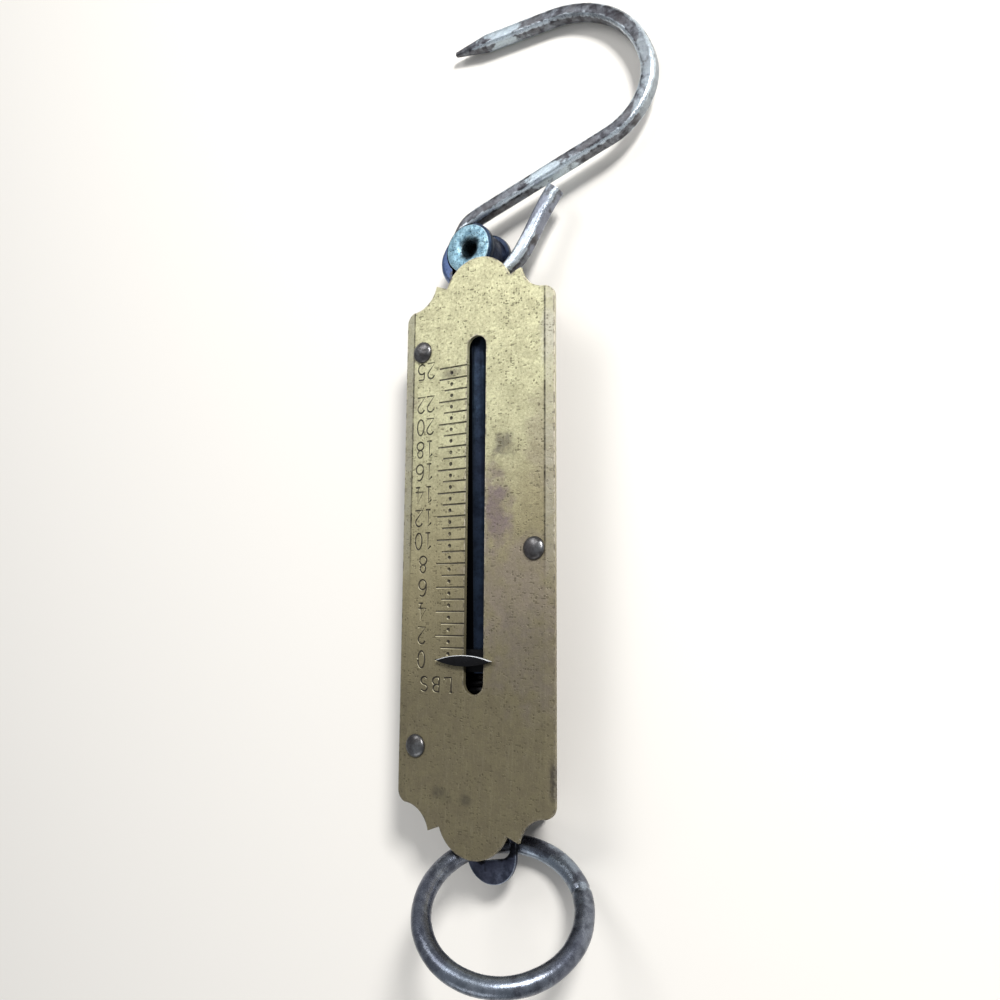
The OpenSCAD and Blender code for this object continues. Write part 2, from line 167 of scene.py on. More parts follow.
LAMPS = {
    "window": {"place": (-0.26, 0.48, 0.62), "size": (0.44, 0.34), "watts": 2.0},
    "side": {"place": (0.40, 0.36, 0.46), "size": (0.14, 0.14), "watts": 6.0},
    "near": {"place": (-0.10, -0.60, 0.40), "size": (0.50, 0.20), "watts": 0.6},
}
for lamp_name, lamp in LAMPS.items():
    lamp_data = bpy.data.lights.new(lamp_name, "AREA")
    lamp_data.shape = "RECTANGLE"
    lamp_data.size, lamp_data.size_y = lamp["size"]
    lamp_data.energy = lamp["watts"]
    lamp_object = bpy.data.objects.new(lamp_name, lamp_data)
    lamp_object.location = lamp["place"]
    aim = Vector((0.0, 0.01, 0.01)) - Vector(lamp["place"])
    lamp_object.rotation_euler = aim.to_track_quat("-Z", "Y").to_euler()
    scene.collection.objects.link(lamp_object)
print("lamps", ", ".join(LAMPS))

# %% [markdown]
# ## Shared effects as node groups
# Four marks are made here: fine grain and dark specks, which every metal has, soft patches,
# which the brass and some steels have, and long faint scratches, which only the brass has.
# The patches are tarnish on the brass; on the steels some are bare, blue or dark metal and
# some are painted highlights and painted shade. Each is a node group that is built once,
# reads Object coordinates in metres, and puts out a mask from 0 to 1. The finish itself
# stays in each material.


# %% Node groups for age
def start_group(name, inputs):
    """A shader group with float or vector inputs and one output, Mask."""
    tree = bpy.data.node_groups.new(name, "ShaderNodeTree")
    tree.interface.new_socket("Vector", in_out="INPUT", socket_type="NodeSocketVector")
    for label, value in inputs.items():
        kind = "NodeSocketVector" if isinstance(value, tuple) else "NodeSocketFloat"
        tree.interface.new_socket(label, in_out="INPUT", socket_type=kind).default_value = value
    tree.interface.new_socket("Mask", in_out="OUTPUT", socket_type="NodeSocketFloat")
    return tree, add_node(tree, "NodeGroupInput").outputs


def end_group(tree, mask):
    add_node(tree, "NodeGroupOutput", {"Mask": mask})
    return tree


def make_grain_group():
    """Cloudy grain of a chosen size in millimetres."""
    tree, given = start_group("fine grain",
                              {"Size": 1.0, "Roughness": 0.6, "Low": 0.3, "High": 0.7})
    turns = add_math(tree, "DIVIDE", 1000.0, given["Size"])
    cloud = add_node(tree, "ShaderNodeTexNoise", {
        "Vector": given["Vector"], "Scale": turns, "Detail": 6.0, "Roughness": given["Roughness"]})
    return end_group(tree, add_ramp(tree, cloud.outputs["Fac"], given["Low"], given["High"]))


def make_speck_group():
    """Small pits: cells with a random size, most of them too small to show."""
    tree, given = start_group("specks", {"Size": 1.0, "Share": 0.3, "Stretch": (1.0, 1.0, 1.0)})
    turns = add_math(tree, "DIVIDE", 1000.0, given["Size"])
    stretched = add_node(tree, "ShaderNodeVectorMath",
                         {0: given["Vector"], 1: given["Stretch"]}, operation="MULTIPLY")
    cells = add_node(tree, "ShaderNodeTexVoronoi",
                     {"Vector": stretched.outputs[0], "Scale": turns}, feature="F1")
    chance = add_node(tree, "ShaderNodeSeparateColor", {0: cells.outputs["Color"]})
    reach = add_math(tree, "SUBTRACT", given["Share"], chance.outputs[0])
    radius = add_math(tree, "MULTIPLY", reach, 0.9)
    depth = add_math(tree, "SUBTRACT", radius, cells.outputs["Distance"])
    return end_group(tree, add_ramp(tree, depth, 0.0, 0.12))


def make_scratch_group():
    """Thin broken lines along the first axis of the given vector."""
    tree, given = start_group("scratches", {"Size": 1.0, "Length": 12.0, "Share": 0.1})
    turns = add_math(tree, "DIVIDE", 1000.0, given["Size"])
    squeeze = add_math(tree, "DIVIDE", 1.0, given["Length"])
    along = add_node(tree, "ShaderNodeCombineXYZ", {0: squeeze, 1: 1.0, 2: 1.0})
    drawn = add_node(tree, "ShaderNodeVectorMath",
                     {0: given["Vector"], 1: along.outputs[0]}, operation="MULTIPLY")
    lines = add_node(tree, "ShaderNodeTexNoise",
                     {"Vector": drawn.outputs[0], "Scale": turns, "Detail": 3.0})
    middle = add_math(tree, "ABSOLUTE", add_math(tree, "SUBTRACT", lines.outputs["Fac"], 0.5))
    width = add_math(tree, "MULTIPLY", given["Share"], 0.1)
    return end_group(tree, add_math(tree, "SUBTRACT", 1.0, add_ramp(tree, middle, 0.0, width)))


def make_patch_group():
    """A soft oval patch with a ragged rim; Centre and Reach are in metres."""
    tree, given = start_group("tarnish and painted light patch", {
        "Centre": (0.0, 0.0, 0.0), "Reach": (0.01, 0.01, 1.0), "Ragged": 0.8, "Soft": 0.6})
    offset = add_node(tree, "ShaderNodeVectorMath",
                      {0: given["Vector"], 1: given["Centre"]}, operation="SUBTRACT")
    share = add_node(tree, "ShaderNodeVectorMath",
                     {0: offset.outputs[0], 1: given["Reach"]}, operation="DIVIDE")
    far = add_node(tree, "ShaderNodeVectorMath", {0: share.outputs[0]}, operation="LENGTH")
    cloud = add_node(tree, "ShaderNodeTexNoise",
                     {"Vector": given["Vector"], "Scale": 300.0, "Detail": 5.0})
    ragged = add_math(tree, "MULTIPLY", add_math(tree, "SUBTRACT", cloud.outputs["Fac"], 0.5),
                      given["Ragged"])
    edge = add_math(tree, "ADD", far.outputs["Value"], add_math(tree, "MULTIPLY", ragged, 2.0))
    inside = add_math(tree, "SUBTRACT", 1.0, edge)
    return end_group(tree, add_ramp(tree, inside, 0.0, given["Soft"]))


GRAIN = make_grain_group()
SPECKS = make_speck_group()
SCRATCHES = make_scratch_group()
PATCH = make_patch_group()


def add_age(tree, group, vector, **values):
    """Places one of the age groups and returns its mask."""
    made = add_node(tree, "ShaderNodeGroup", node_tree=group)
    tree.links.new(vector, made.inputs["Vector"])
    for label, value in values.items():
        made.inputs[label].default_value = value
    return made.outputs["Mask"]


print("groups", [group.name for group in (GRAIN, SPECKS, SCRATCHES, PATCH)])

# %% [markdown]
# ## Old steel
# The hook, ring, rivets, casing and fork are steel that has gone dark and then been worn
# bright where hands and loads rub. A metal takes its look from three things: its tint, how
# sharp its highlights are, and small dents. The tint mixes a dark and a light tone by a
# cloudy grain, blue or brown casts lie over it in larger clouds, specks of rust are dark and
# dull, and the attribute "worn", which each mesh carries on its rims, brings bare metal. Last
# come single patches, each at its own place in metres: bare, blue and dark ones, and painted
# ones, a painted highlight on the hook's crown and on the ring, and painted shade on the ring
# and tongue at the ring's hole and in the hook rivet's bore. A last helper paints black shade
# along the left side of the tube.


# %% A material for aged steel
def start_material(name):
    """A material, its tree, its Principled shader and the Object coordinates."""
    material = bpy.data.materials.new(name)
    material.use_nodes = True
    tree = material.node_tree
    vector = add_node(tree, "ShaderNodeTexCoord").outputs["Object"]
    return material, tree, tree.nodes["Principled BSDF"], vector


def add_bump(tree, surface, height, distance):
    made = add_node(tree, "ShaderNodeBump",
                    {"Height": height, "Distance": distance, "Strength": 1.0})
    tree.links.new(made.outputs["Normal"], surface.inputs["Normal"])


def aged_steel(name, dark, light, cast, bare, wear, rough, grain, dents,
               metal=0.9, rust=0.35, patches=(), ragged=1.9):
    """Steel in a dark and a light tone with a coloured cast; bare is the worn rims' colour.
    Each patch is an oval: its centre, its reach, its tone and how strongly it covers.
    Tones are given as the screen shows them."""
    material, tree, surface, vector = start_material(name)
    dark, light, cast, bare = (screen_colour(*tone) for tone in (dark, light, cast, bare))
    clouds = add_age(tree, GRAIN, vector, Size=grain, Roughness=0.65, Low=0.34, High=0.68)
    fine = add_age(tree, GRAIN, vector, Size=grain * 0.16, Roughness=0.6, Low=0.25, High=0.75)
    large = add_age(tree, GRAIN, vector, Size=grain * 4.0, Roughness=0.5, Low=0.42, High=0.62)
    pits = add_age(tree, SPECKS, vector, Size=grain * 0.32, Share=rust)
    worn = add_node(tree, "ShaderNodeAttribute", attribute_name="worn").outputs["Fac"]
    rubbed = add_math(tree, "ADD", worn, add_math(tree, "MULTIPLY", clouds, 0.5))
    shine = add_math(tree, "MULTIPLY", add_ramp(tree, rubbed, 0.75, 1.15), wear)
    tone = add_mix(tree, clouds, dark, light)
    tone = add_coat(tree, tone, large, 0.55, cast)
    tone = add_coat(tree, tone, fine, 0.38, dark)
    tone = add_coat(tree, tone, pits, 0.75, screen_colour(30, 26, 25))
    tone = add_mix(tree, shine, tone, bare)
    grainy = add_math(tree, "MULTIPLY_ADD", fine, -0.40, 1.1, clamp=True)
    for centre, reach, patch_tone, cover in patches:
        mask = add_age(tree, PATCH, vector, Centre=centre, Reach=reach, Ragged=ragged, Soft=0.4)
        mask = add_math(tree, "MULTIPLY", mask, add_math(tree, "MULTIPLY", grainy, cover))
        tone = add_mix(tree, mask, tone, screen_colour(*patch_tone))
    dull = add_math(tree, "MULTIPLY_ADD", fine, rough[1] - rough[0], rough[0])
    dull = add_math(tree, "MULTIPLY_ADD", pits, 0.25, dull)
    dull = add_math(tree, "MULTIPLY_ADD", shine, -0.1, dull)
    feed(tree, surface, {"Base Color": tone, "Metallic": metal, "Roughness": dull})
    height = add_math(tree, "SUBTRACT", add_math(tree, "MULTIPLY_ADD", fine, 0.3, clouds), pits)
    add_bump(tree, surface, height, dents)
    return material


def darken_side(material, edge, lean, soft):
    """Paints black shade, dull and not metallic, over the part of a steel that lies left of the
    line X = edge + lean Y.
    """
    tree = material.node_tree
    surface = tree.nodes["Principled BSDF"]
    place = add_node(tree, "ShaderNodeSeparateXYZ",
                     {0: add_node(tree, "ShaderNodeTexCoord").outputs["Object"]})
    line = add_math(tree, "MULTIPLY_ADD", place.outputs["Y"], -lean, place.outputs["X"])
    unshaded = add_ramp(tree, line, edge - soft, edge + soft)
    tone = surface.inputs["Base Color"].links[0].from_socket
    dull = surface.inputs["Roughness"].links[0].from_socket
    matt = add_math(tree, "MULTIPLY_ADD", add_math(tree, "SUBTRACT", 1.0, unshaded), 0.35, dull)
    feed(tree, surface, {"Base Color": add_mix(tree, unshaded, screen_colour(5, 5, 6), tone),
                         "Roughness": matt, "Metallic": add_math(tree, "MULTIPLY", unshaded, 0.9),
                         "Specular IOR Level": add_math(tree, "MULTIPLY", unshaded, 0.5)})


BARE_METAL = (206, 220, 228)
BLUE_OIL = (84, 106, 152)
HOOK_PATCHES = (
    ((-0.0004, 0.1234, 0.0045), (0.0056, 0.0040, 0.01), BARE_METAL, 0.7),
    ((0.0140, 0.0832, 0.0085), (0.0066, 0.0048, 0.01), BARE_METAL, 0.75),
    # painted highlight: this row paints the bright bluish line along the crown's right side
    ((0.0385, 0.1000, 0.0050), (0.0036, 0.0220, 0.01), BARE_METAL, 0.35),
    ((0.0120, 0.0725, 0.0090), (0.0070, 0.0080, 0.01), (150, 156, 172), 0.6),
    ((-0.0130, 0.0660, 0.0075), (0.0048, 0.0085, 0.02), BLUE_OIL, 0.85),
    ((0.0227, 0.1178, 0.0040), (0.0120, 0.0050, 0.01), (46, 42, 46), 0.55),
)
HOOK_STEEL = aged_steel(
    "old hook steel", dark=(60, 59, 64), light=(148, 154, 162),
    cast=(98, 94, 94), bare=(206, 216, 224), wear=0.9,
    rough=(0.32, 0.48), grain=1.7, dents=0.00005, rust=0.22, patches=HOOK_PATCHES)
# painted highlights and painted shade: the two pale rows paint the highlights along the ring's
# upper right and bottom, the dark row paints the shade where it passes through the tongue under the
# plate's lobe
RING_HIGHLIGHTS_AND_SHADE = (
    ((0.0140, -0.0645, 0.0050), (0.0090, 0.0050, 0.006), (178, 192, 206), 0.5),
    ((0.0120, -0.0800, 0.0280), (0.0110, 0.0040, 0.008), (176, 190, 204), 0.25),
    ((-0.0007, -0.0619, 0.0066), (0.0060, 0.0050, 0.006), (26, 25, 28), 0.95),
)
RING_STEEL = aged_steel(
    "grey ring steel", dark=(76, 80, 90), light=(138, 144, 154),
    cast=(98, 102, 118), bare=(206, 216, 224), wear=0.5,
    rough=(0.24, 0.34), grain=2.0, dents=0.00002, rust=0.2, patches=RING_HIGHLIGHTS_AND_SHADE)
RIVET_STEEL = aged_steel(
    "domed rivet steel", dark=(74, 71, 70), light=(134, 136, 138),
    cast=(102, 94, 94), bare=(206, 214, 220), wear=0.5,
    rough=(0.26, 0.36), grain=3.2, dents=0.00002, rust=0.12)
BLUED_STEEL = aged_steel(
    "blued steel", dark=(28, 34, 48), light=(54, 64, 86),
    cast=(40, 44, 66), bare=(110, 128, 154), wear=0.5,
    rough=(0.26, 0.42), grain=3.0, dents=0.00004, rust=0.25)
# painted shade: the tongue is painted near black round the ring's hole, under the plate's lobe
# where shade falls
TONGUE_SHADE = (((-0.0007, -0.0619, 0.0066), (0.0090, 0.0042, 0.01), (16, 15, 17), 0.95),)
TONGUE_STEEL = aged_steel(
    "grey blue tongue steel", dark=(58, 62, 76), light=(104, 110, 128),
    cast=(82, 84, 104), bare=(178, 190, 206), wear=0.6,
    rough=(0.30, 0.48), grain=2.4, dents=0.00005, patches=TONGUE_SHADE)
CASING_STEEL = aged_steel(
    "dark casing steel", dark=(58, 54, 54), light=(112, 106, 102),
    cast=(84, 70, 66), bare=(176, 176, 174), wear=0.7,
    rough=(0.34, 0.56), grain=5.0, dents=0.00006)
# painted shade: the bore of the hollow rivet is painted near black, where shade fills the hole
BORE_SHADE = (((-0.00415, 0.06733, 0.0117), (0.0032, 0.0032, 1.0), (12, 12, 14), 0.98),)
# painted reflection: the pale cyan tones stand partly for the sky mirrored in the rivet head and
# partly for worn temper blue
RIVET_HEAD_SHEEN_STEEL = aged_steel(
    "bright blue rivet head", dark=(104, 140, 160), light=(190, 226, 238),
    cast=(156, 198, 216), bare=(218, 232, 238), wear=0.6,
    rough=(0.38, 0.54), grain=1.1, dents=0.00006, rust=0.60, patches=BORE_SHADE, ragged=0.6)
SPRING_STEEL = aged_steel(
    "spring wire", dark=(26, 26, 28), light=(52, 52, 56),
    cast=(36, 33, 32), bare=(90, 90, 94), wear=0.3,
    rough=(0.36, 0.5), grain=2.0, dents=0.00002)
POINTER_STEEL = aged_steel(
    "black pointer steel", dark=(9, 9, 11), light=(20, 20, 24),
    cast=(14, 14, 18), bare=(236, 238, 240), wear=1.0,
    rough=(0.5, 0.65), grain=1.6, dents=0.00003, metal=0.7)
TUBE_STEEL = aged_steel(
    "navy tube steel", dark=(28, 36, 50), light=(50, 64, 84),
    cast=(40, 46, 64), bare=(104, 122, 148), wear=0.4,
    rough=(0.26, 0.40), grain=3.0, dents=0.00003, rust=0.2)
# painted shade: the tube's left side under the slot is painted black, standing in for the shade
# there
darken_side(TUBE_STEEL, edge=-0.0017, lean=-0.020, soft=0.00015)
print("steels", len(bpy.data.materials) - 1)

# %% [markdown]
# ## Helpers for the meshes
# Three jobs come back for each piece. A solid's mesh arrives as loose triangles, so a copy is
# merged and its flat faces are made whole. Its sharp edges are then rounded by a small bevel,
# and the bevel's faces get the attribute "worn". At the end a mesh becomes an object at the
# origin that stands for its solid and rides on its body.


# %% Helpers for the meshes
SHARP = math.radians(32)


def solid_copy(node):
    """A bmesh of a CAD node, merged, with whole flat faces."""
    shape = bmesh.new()
    shape.from_mesh(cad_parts[node].data)
    bmesh.ops.remove_doubles(shape, verts=shape.verts, dist=0.003 * MM)
    bmesh.ops.dissolve_limit(shape, angle_limit=math.radians(0.8),
                             verts=shape.verts, edges=shape.edges)
    return shape


def worn_layer(shape):
    return shape.loops.layers.float.get("worn") or shape.loops.layers.float.new("worn")


def round_edges(shape, width, keep=lambda edge: True):
    """Bevels the sharp edges that keep() allows and marks the new faces as worn."""
    worn_layer(shape)
    edges = [edge for edge in shape.edges
             if edge.is_manifold and edge.calc_face_angle() > SHARP and keep(edge)]
    made = bmesh.ops.bevel(shape, geom=edges, offset=width, offset_type="OFFSET",
                           affect="EDGES", segments=2, profile=0.5, material=-1,
                           clamp_overlap=True)
    worn = worn_layer(shape)
    for face in made["faces"]:
        for corner in face.loops:
            corner[worn] = 1.0


def add_piece(shape, name, materials, body, nodes, smooth=True):
    """Writes the bmesh to a new object that stands for nodes and rides on body."""
    worn_layer(shape)
    for face in shape.faces:
        face.smooth = smooth
    for edge in shape.edges:
        edge.smooth = not (edge.is_manifold and edge.calc_face_angle() > SHARP)
    mesh = bpy.data.meshes.new(name)
    shape.to_mesh(mesh)
    shape.free()
    for material in materials:
        mesh.materials.append(material)
    piece = bpy.data.objects.new(name, mesh)
    scene.collection.objects.link(piece)
    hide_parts(*nodes)
    if body:
        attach(piece, body)
    corners = sum(len(face.vertices) - 2 for face in mesh.polygons)
    print(f"{name}: {corners} triangles")
    return piece


print("an edge counts as sharp above", round(math.degrees(SHARP)), "degrees")

# %% [markdown]
# ## Brass face plate: the blank
# The face is one sheet of brass with lobed, notched ends. Its outline has to be the solid's,
# so its mesh starts as a copy. The long margins outside a crease line slope down a little,
# which is why they catch the light in another tone; on the hook half that tone is also
# painted on in the finish, as a painted sheen. An inset ring along every rim gives the
# wear something to fade across, and a fine bevel rounds the rims.

# %% Blank of the face plate
PLATE_TOP = 14.4 * MM
CREASE_X = 16.85 * MM
MARGIN_SLOPE = 0.13
RIM_WIDTH = 0.55 * MM
RIM_BEVEL = 0.16 * MM

plate = solid_copy("face_plate")
round_edges(plate, RIM_BEVEL, keep=lambda edge: all(vert.co.z > PLATE_TOP - 0.01 * MM
                                                    for vert in edge.verts))
top_faces = [face for face in plate.faces
             if face.normal.z > 0.999 and face.calc_center_median().z > PLATE_TOP - 0.02 * MM]
worn = worn_layer(plate)
rim = bmesh.ops.inset_region(plate, faces=top_faces, thickness=RIM_WIDTH,
                             use_boundary=True, use_even_offset=True)
inner_verts = {vert for face in top_faces if face.is_valid for vert in face.verts}
for face in rim["faces"]:
    for corner in face.loops:
        corner[worn] = 0.0 if corner.vert in inner_verts else 0.75
for side in (-1, 1):
    bmesh.ops.bisect_plane(plate, geom=plate.verts[:] + plate.edges[:] + plate.faces[:],
                           plane_co=(side * CREASE_X, 0, 0), plane_no=(1, 0, 0), dist=0.001 * MM)
for vert in plate.verts:
    beyond = abs(vert.co.x) - CREASE_X
    if beyond > 0 and vert.co.z > PLATE_TOP - 0.3 * MM:
        vert.co.z -= beyond * MARGIN_SLOPE
print("face plate blank:", len(plate.faces), "faces")

# %% [markdown]
# ## Brass face plate: the stamped scale
# The scale is stamped, so it is cut into the metal and not painted on it: a line for each of
# the 25 pounds, longer at the even ones, a dot half way between two lines, and thin round
# numerals that read from the other end. Each numeral is a few strokes, written here as lines
# and arcs in a cell as high as the numeral. A curve with a round bevel turns the strokes into
# rods, and a Boolean sinks the rods into the sheet, which leaves round-bottomed grooves.


# %% Strokes of the numerals
def arc(x, y, across, up, start, end, steps):
    """Points of an oval arc from one angle to another, in degrees."""
    return [(x + across * math.cos(math.radians(start + (end - start) * k / steps)),
             y + up * math.sin(math.radians(start + (end - start) * k / steps)))
            for k in range(steps + 1)]


GLYPHS = {
    "0": [arc(0, 0, 0.25, 0.5, 0, 360, 24)],
    "1": [[(-0.2, 0.3), (0.03, 0.5), (0.03, -0.5)], [(-0.15, -0.5), (0.22, -0.5)]],
    "2": [arc(0, 0.24, 0.25, 0.26, 165, -35, 14) + [(-0.27, -0.5), (0.29, -0.5)]],
    "4": [[(0.12, -0.5), (0.12, 0.5), (-0.29, -0.2), (0.3, -0.2)], [(-0.06, -0.5), (0.28, -0.5)]],
    "5": [[(0.24, 0.5), (-0.18, 0.5), (-0.2, 0.07)] + arc(-0.01, -0.18, 0.27, 0.32, 135, -150, 16)],
    "6": [arc(0.04, 0.02, 0.3, 0.48, 62, 180, 10) + arc(0.01, -0.2, 0.27, 0.3, 180, 540, 24)],
    "8": [arc(0, 0.26, 0.2, 0.24, 0, 360, 20), arc(0, -0.24, 0.26, 0.26, 0, 360, 22)],
    "L": [[(-0.26, 0.5), (-0.26, -0.5), (0.3, -0.5), (0.3, -0.36)], [(-0.38, 0.5), (-0.12, 0.5)]],
    "B": [[(-0.26, -0.5), (-0.26, 0.5)] + arc(0.02, 0.26, 0.22, 0.24, 90, -90, 10)
          + [(-0.26, 0.02)], arc(0.04, -0.24, 0.26, 0.26, 90, -90, 10) + [(-0.26, -0.5)]],
    "S": [arc(0.0, 0.26, 0.26, 0.24, 30, 250, 14) + arc(0.0, -0.24, 0.28, 0.26, 80, -150, 14)],
}
ZERO_Y = -24.0
POUND = 2.54
SLOT_SIDE_X, SHORT_LINE_X, LONG_LINE_X, DOT_X = -2.0, -8.4, -9.8, -6.45
NUMERAL_X, NUMERAL_HEIGHT, NUMERAL_ADVANCE = -13.4, 3.55, 2.6
WORD_X, WORD_Y, WORD_HEIGHT, WORD_ADVANCE = -9.4, -29.1, 3.0, 3.1

strokes = []


def write_glyphs(text, centre_x, centre_y, height, advance):
    """Adds the strokes of a text that is turned half round on the plate, in millimetres."""
    for place, letter in enumerate(text):
        shift = (place - (len(text) - 1) / 2) * advance
        for stroke in GLYPHS[letter]:
            strokes.append([(centre_x - shift - x * height, centre_y - y * height)
                            for x, y in stroke])


for pound in range(26):
    line_y = ZERO_Y + pound * POUND
    labelled = pound % 2 == 0 or pound == 25
    strokes.append([(SLOT_SIDE_X, line_y), (LONG_LINE_X if labelled else SHORT_LINE_X, line_y)])
    if labelled and pound != 24:
        write_glyphs(str(pound), NUMERAL_X, line_y, NUMERAL_HEIGHT, NUMERAL_ADVANCE)
write_glyphs("LBS", WORD_X, WORD_Y, WORD_HEIGHT, WORD_ADVANCE)
print(len(strokes), "strokes")

# %% [markdown]
# The rods lie with their middle just above the sheet, so that a groove is shallower than half
# a rod. The dots are small balls. All cutters are one mesh with its own material index, so
# the groove walls come out of the Boolean with a material of their own.

# %% Cutters of the scale
STROKE_RADIUS = 0.26 * MM
STROKE_LIFT = 0.07 * MM
DOT_RADIUS = 0.52 * MM
DOT_LIFT = 0.22 * MM

rods = bpy.data.curves.new("stamp_rods", "CURVE")
rods.dimensions = "3D"
rods.bevel_depth = STROKE_RADIUS
rods.bevel_resolution = 1
rods.use_fill_caps = True
for stroke in strokes:
    line = rods.splines.new("POLY")
    line.points.add(len(stroke) - 1)
    for point, (x, y) in zip(line.points, stroke):
        point.co = (x * MM, y * MM, PLATE_TOP + STROKE_LIFT, 1.0)
rods_object = bpy.data.objects.new("stamp_rods", rods)
scene.collection.objects.link(rods_object)
rods_mesh = bpy.data.meshes.new_from_object(
    rods_object.evaluated_get(bpy.context.evaluated_depsgraph_get()))

stamp = bmesh.new()
stamp.from_mesh(rods_mesh)
bmesh.ops.remove_doubles(stamp, verts=stamp.verts, dist=0.001 * MM)
for pound in range(25):
    dot_y = ZERO_Y + (pound + 0.5) * POUND
    sunk = Matrix.Translation((DOT_X * MM, dot_y * MM, PLATE_TOP + DOT_LIFT))
    bmesh.ops.create_icosphere(stamp, subdivisions=2, radius=DOT_RADIUS, matrix=sunk)
bmesh.ops.recalc_face_normals(stamp, faces=stamp.faces)
for face in stamp.faces:
    face.material_index = 1
print("cutters:", len(stamp.faces), "faces")

# %% [markdown]
# ## Brass face plate: its finish
# The brass runs from pale and greenish at the hook end to a dull olive brown towards the
# ring. That fall is partly tarnish and partly painted light: the tone is painted paler where
# the lamp's light falls at the hook end. Between them there are purple and brown tarnish
# clouds right of the slot. Fine dark specks and short dashes cover it all, and the rims are
# rubbed to a whitish brown and nibbled dark in places, painted paler at the hook end as a
# painted highlight. Each cloud is a row: its middle and its reach across and along the plate
# in metres, how strongly it covers, and its tone as the screen shows it. The grooves hold dark
# dirt, and in the lower half, towards the ring, the wall that faces the light is painted bright
# as a painted highlight.

# %% Brass materials
PALE_LIT_BRASS = screen_colour(216, 213, 172)
WARM_BRASS = screen_colour(168, 157, 122)
OLIVE_DIM_BRASS = screen_colour(118, 109, 86)
RIM_BRASS = screen_colour(206, 196, 176)
LIT_WALL_BRASS = screen_colour(180, 172, 142)
DIRT = screen_colour(34, 29, 24)
SCRATCH_TURN = math.radians(-87)
BRASS_PATCHES = (
    (0.0160, 0.0210, 0.0050, 0.0130, 0.55, (164, 152, 132)),
    (0.0070, 0.0208, 0.0040, 0.0038, 0.85, (112, 106, 96)),
    (0.0050, 0.0078, 0.0052, 0.0105, 0.95, (134, 118, 120)),
    (0.0105, -0.0100, 0.0150, 0.0150, 0.8, (150, 137, 124)),
    (0.0130, -0.0230, 0.0110, 0.0150, 0.75, (124, 114, 102)),
    (-0.0068, 0.0382, 0.0034, 0.0016, 0.7, (96, 92, 84)),
    (-0.0180, 0.0300, 0.0030, 0.0200, 0.5, (160, 148, 138)),
    (0.0180, 0.0440, 0.0026, 0.0090, 0.6, (214, 210, 196)),
    (-0.0079, -0.0515, 0.0030, 0.0022, 0.6, (70, 66, 58)),
    (-0.0017, -0.0519, 0.0022, 0.0018, 0.6, (70, 66, 58)),
    (0.0188, -0.0465, 0.0014, 0.0050, 0.8, (52, 46, 48)),
)


def add_brass_tone(tree, vector):
    """The tone of the sheet by place, with painted light towards the hook end, without specks and
    rims.
    """
    place = add_node(tree, "ShaderNodeSeparateXYZ", {0: vector})
    drift = add_node(tree, "ShaderNodeTexNoise", {"Vector": vector, "Scale": 60.0, "Detail": 4.0})
    sway = add_math(tree, "MULTIPLY_ADD", drift.outputs["Fac"], 0.024, -0.012)
    # painted light: the tone is painted paler along this slanting line towards the hook end, where
    # the lamp's light falls, and olive towards the ring, partly tarnish too
    lean = add_math(tree, "MULTIPLY_ADD", place.outputs["X"], -0.35, place.outputs["Y"])
    height = add_math(tree, "ADD", lean, sway)
    tone = add_mix(tree, add_ramp(tree, height, -0.030, 0.006), OLIVE_DIM_BRASS, WARM_BRASS)
    tone = add_mix(tree, add_ramp(tree, height, -0.006, 0.034), tone, PALE_LIT_BRASS)
    for x, y, across, along, cover, patch_tone in BRASS_PATCHES:
        mask = add_age(tree, PATCH, vector, Centre=(x, y, PLATE_TOP), Reach=(across, along, 1.0),
                       Ragged=0.9, Soft=0.7)
        tone = add_coat(tree, tone, mask, cover, screen_colour(*patch_tone))
    return tone, place


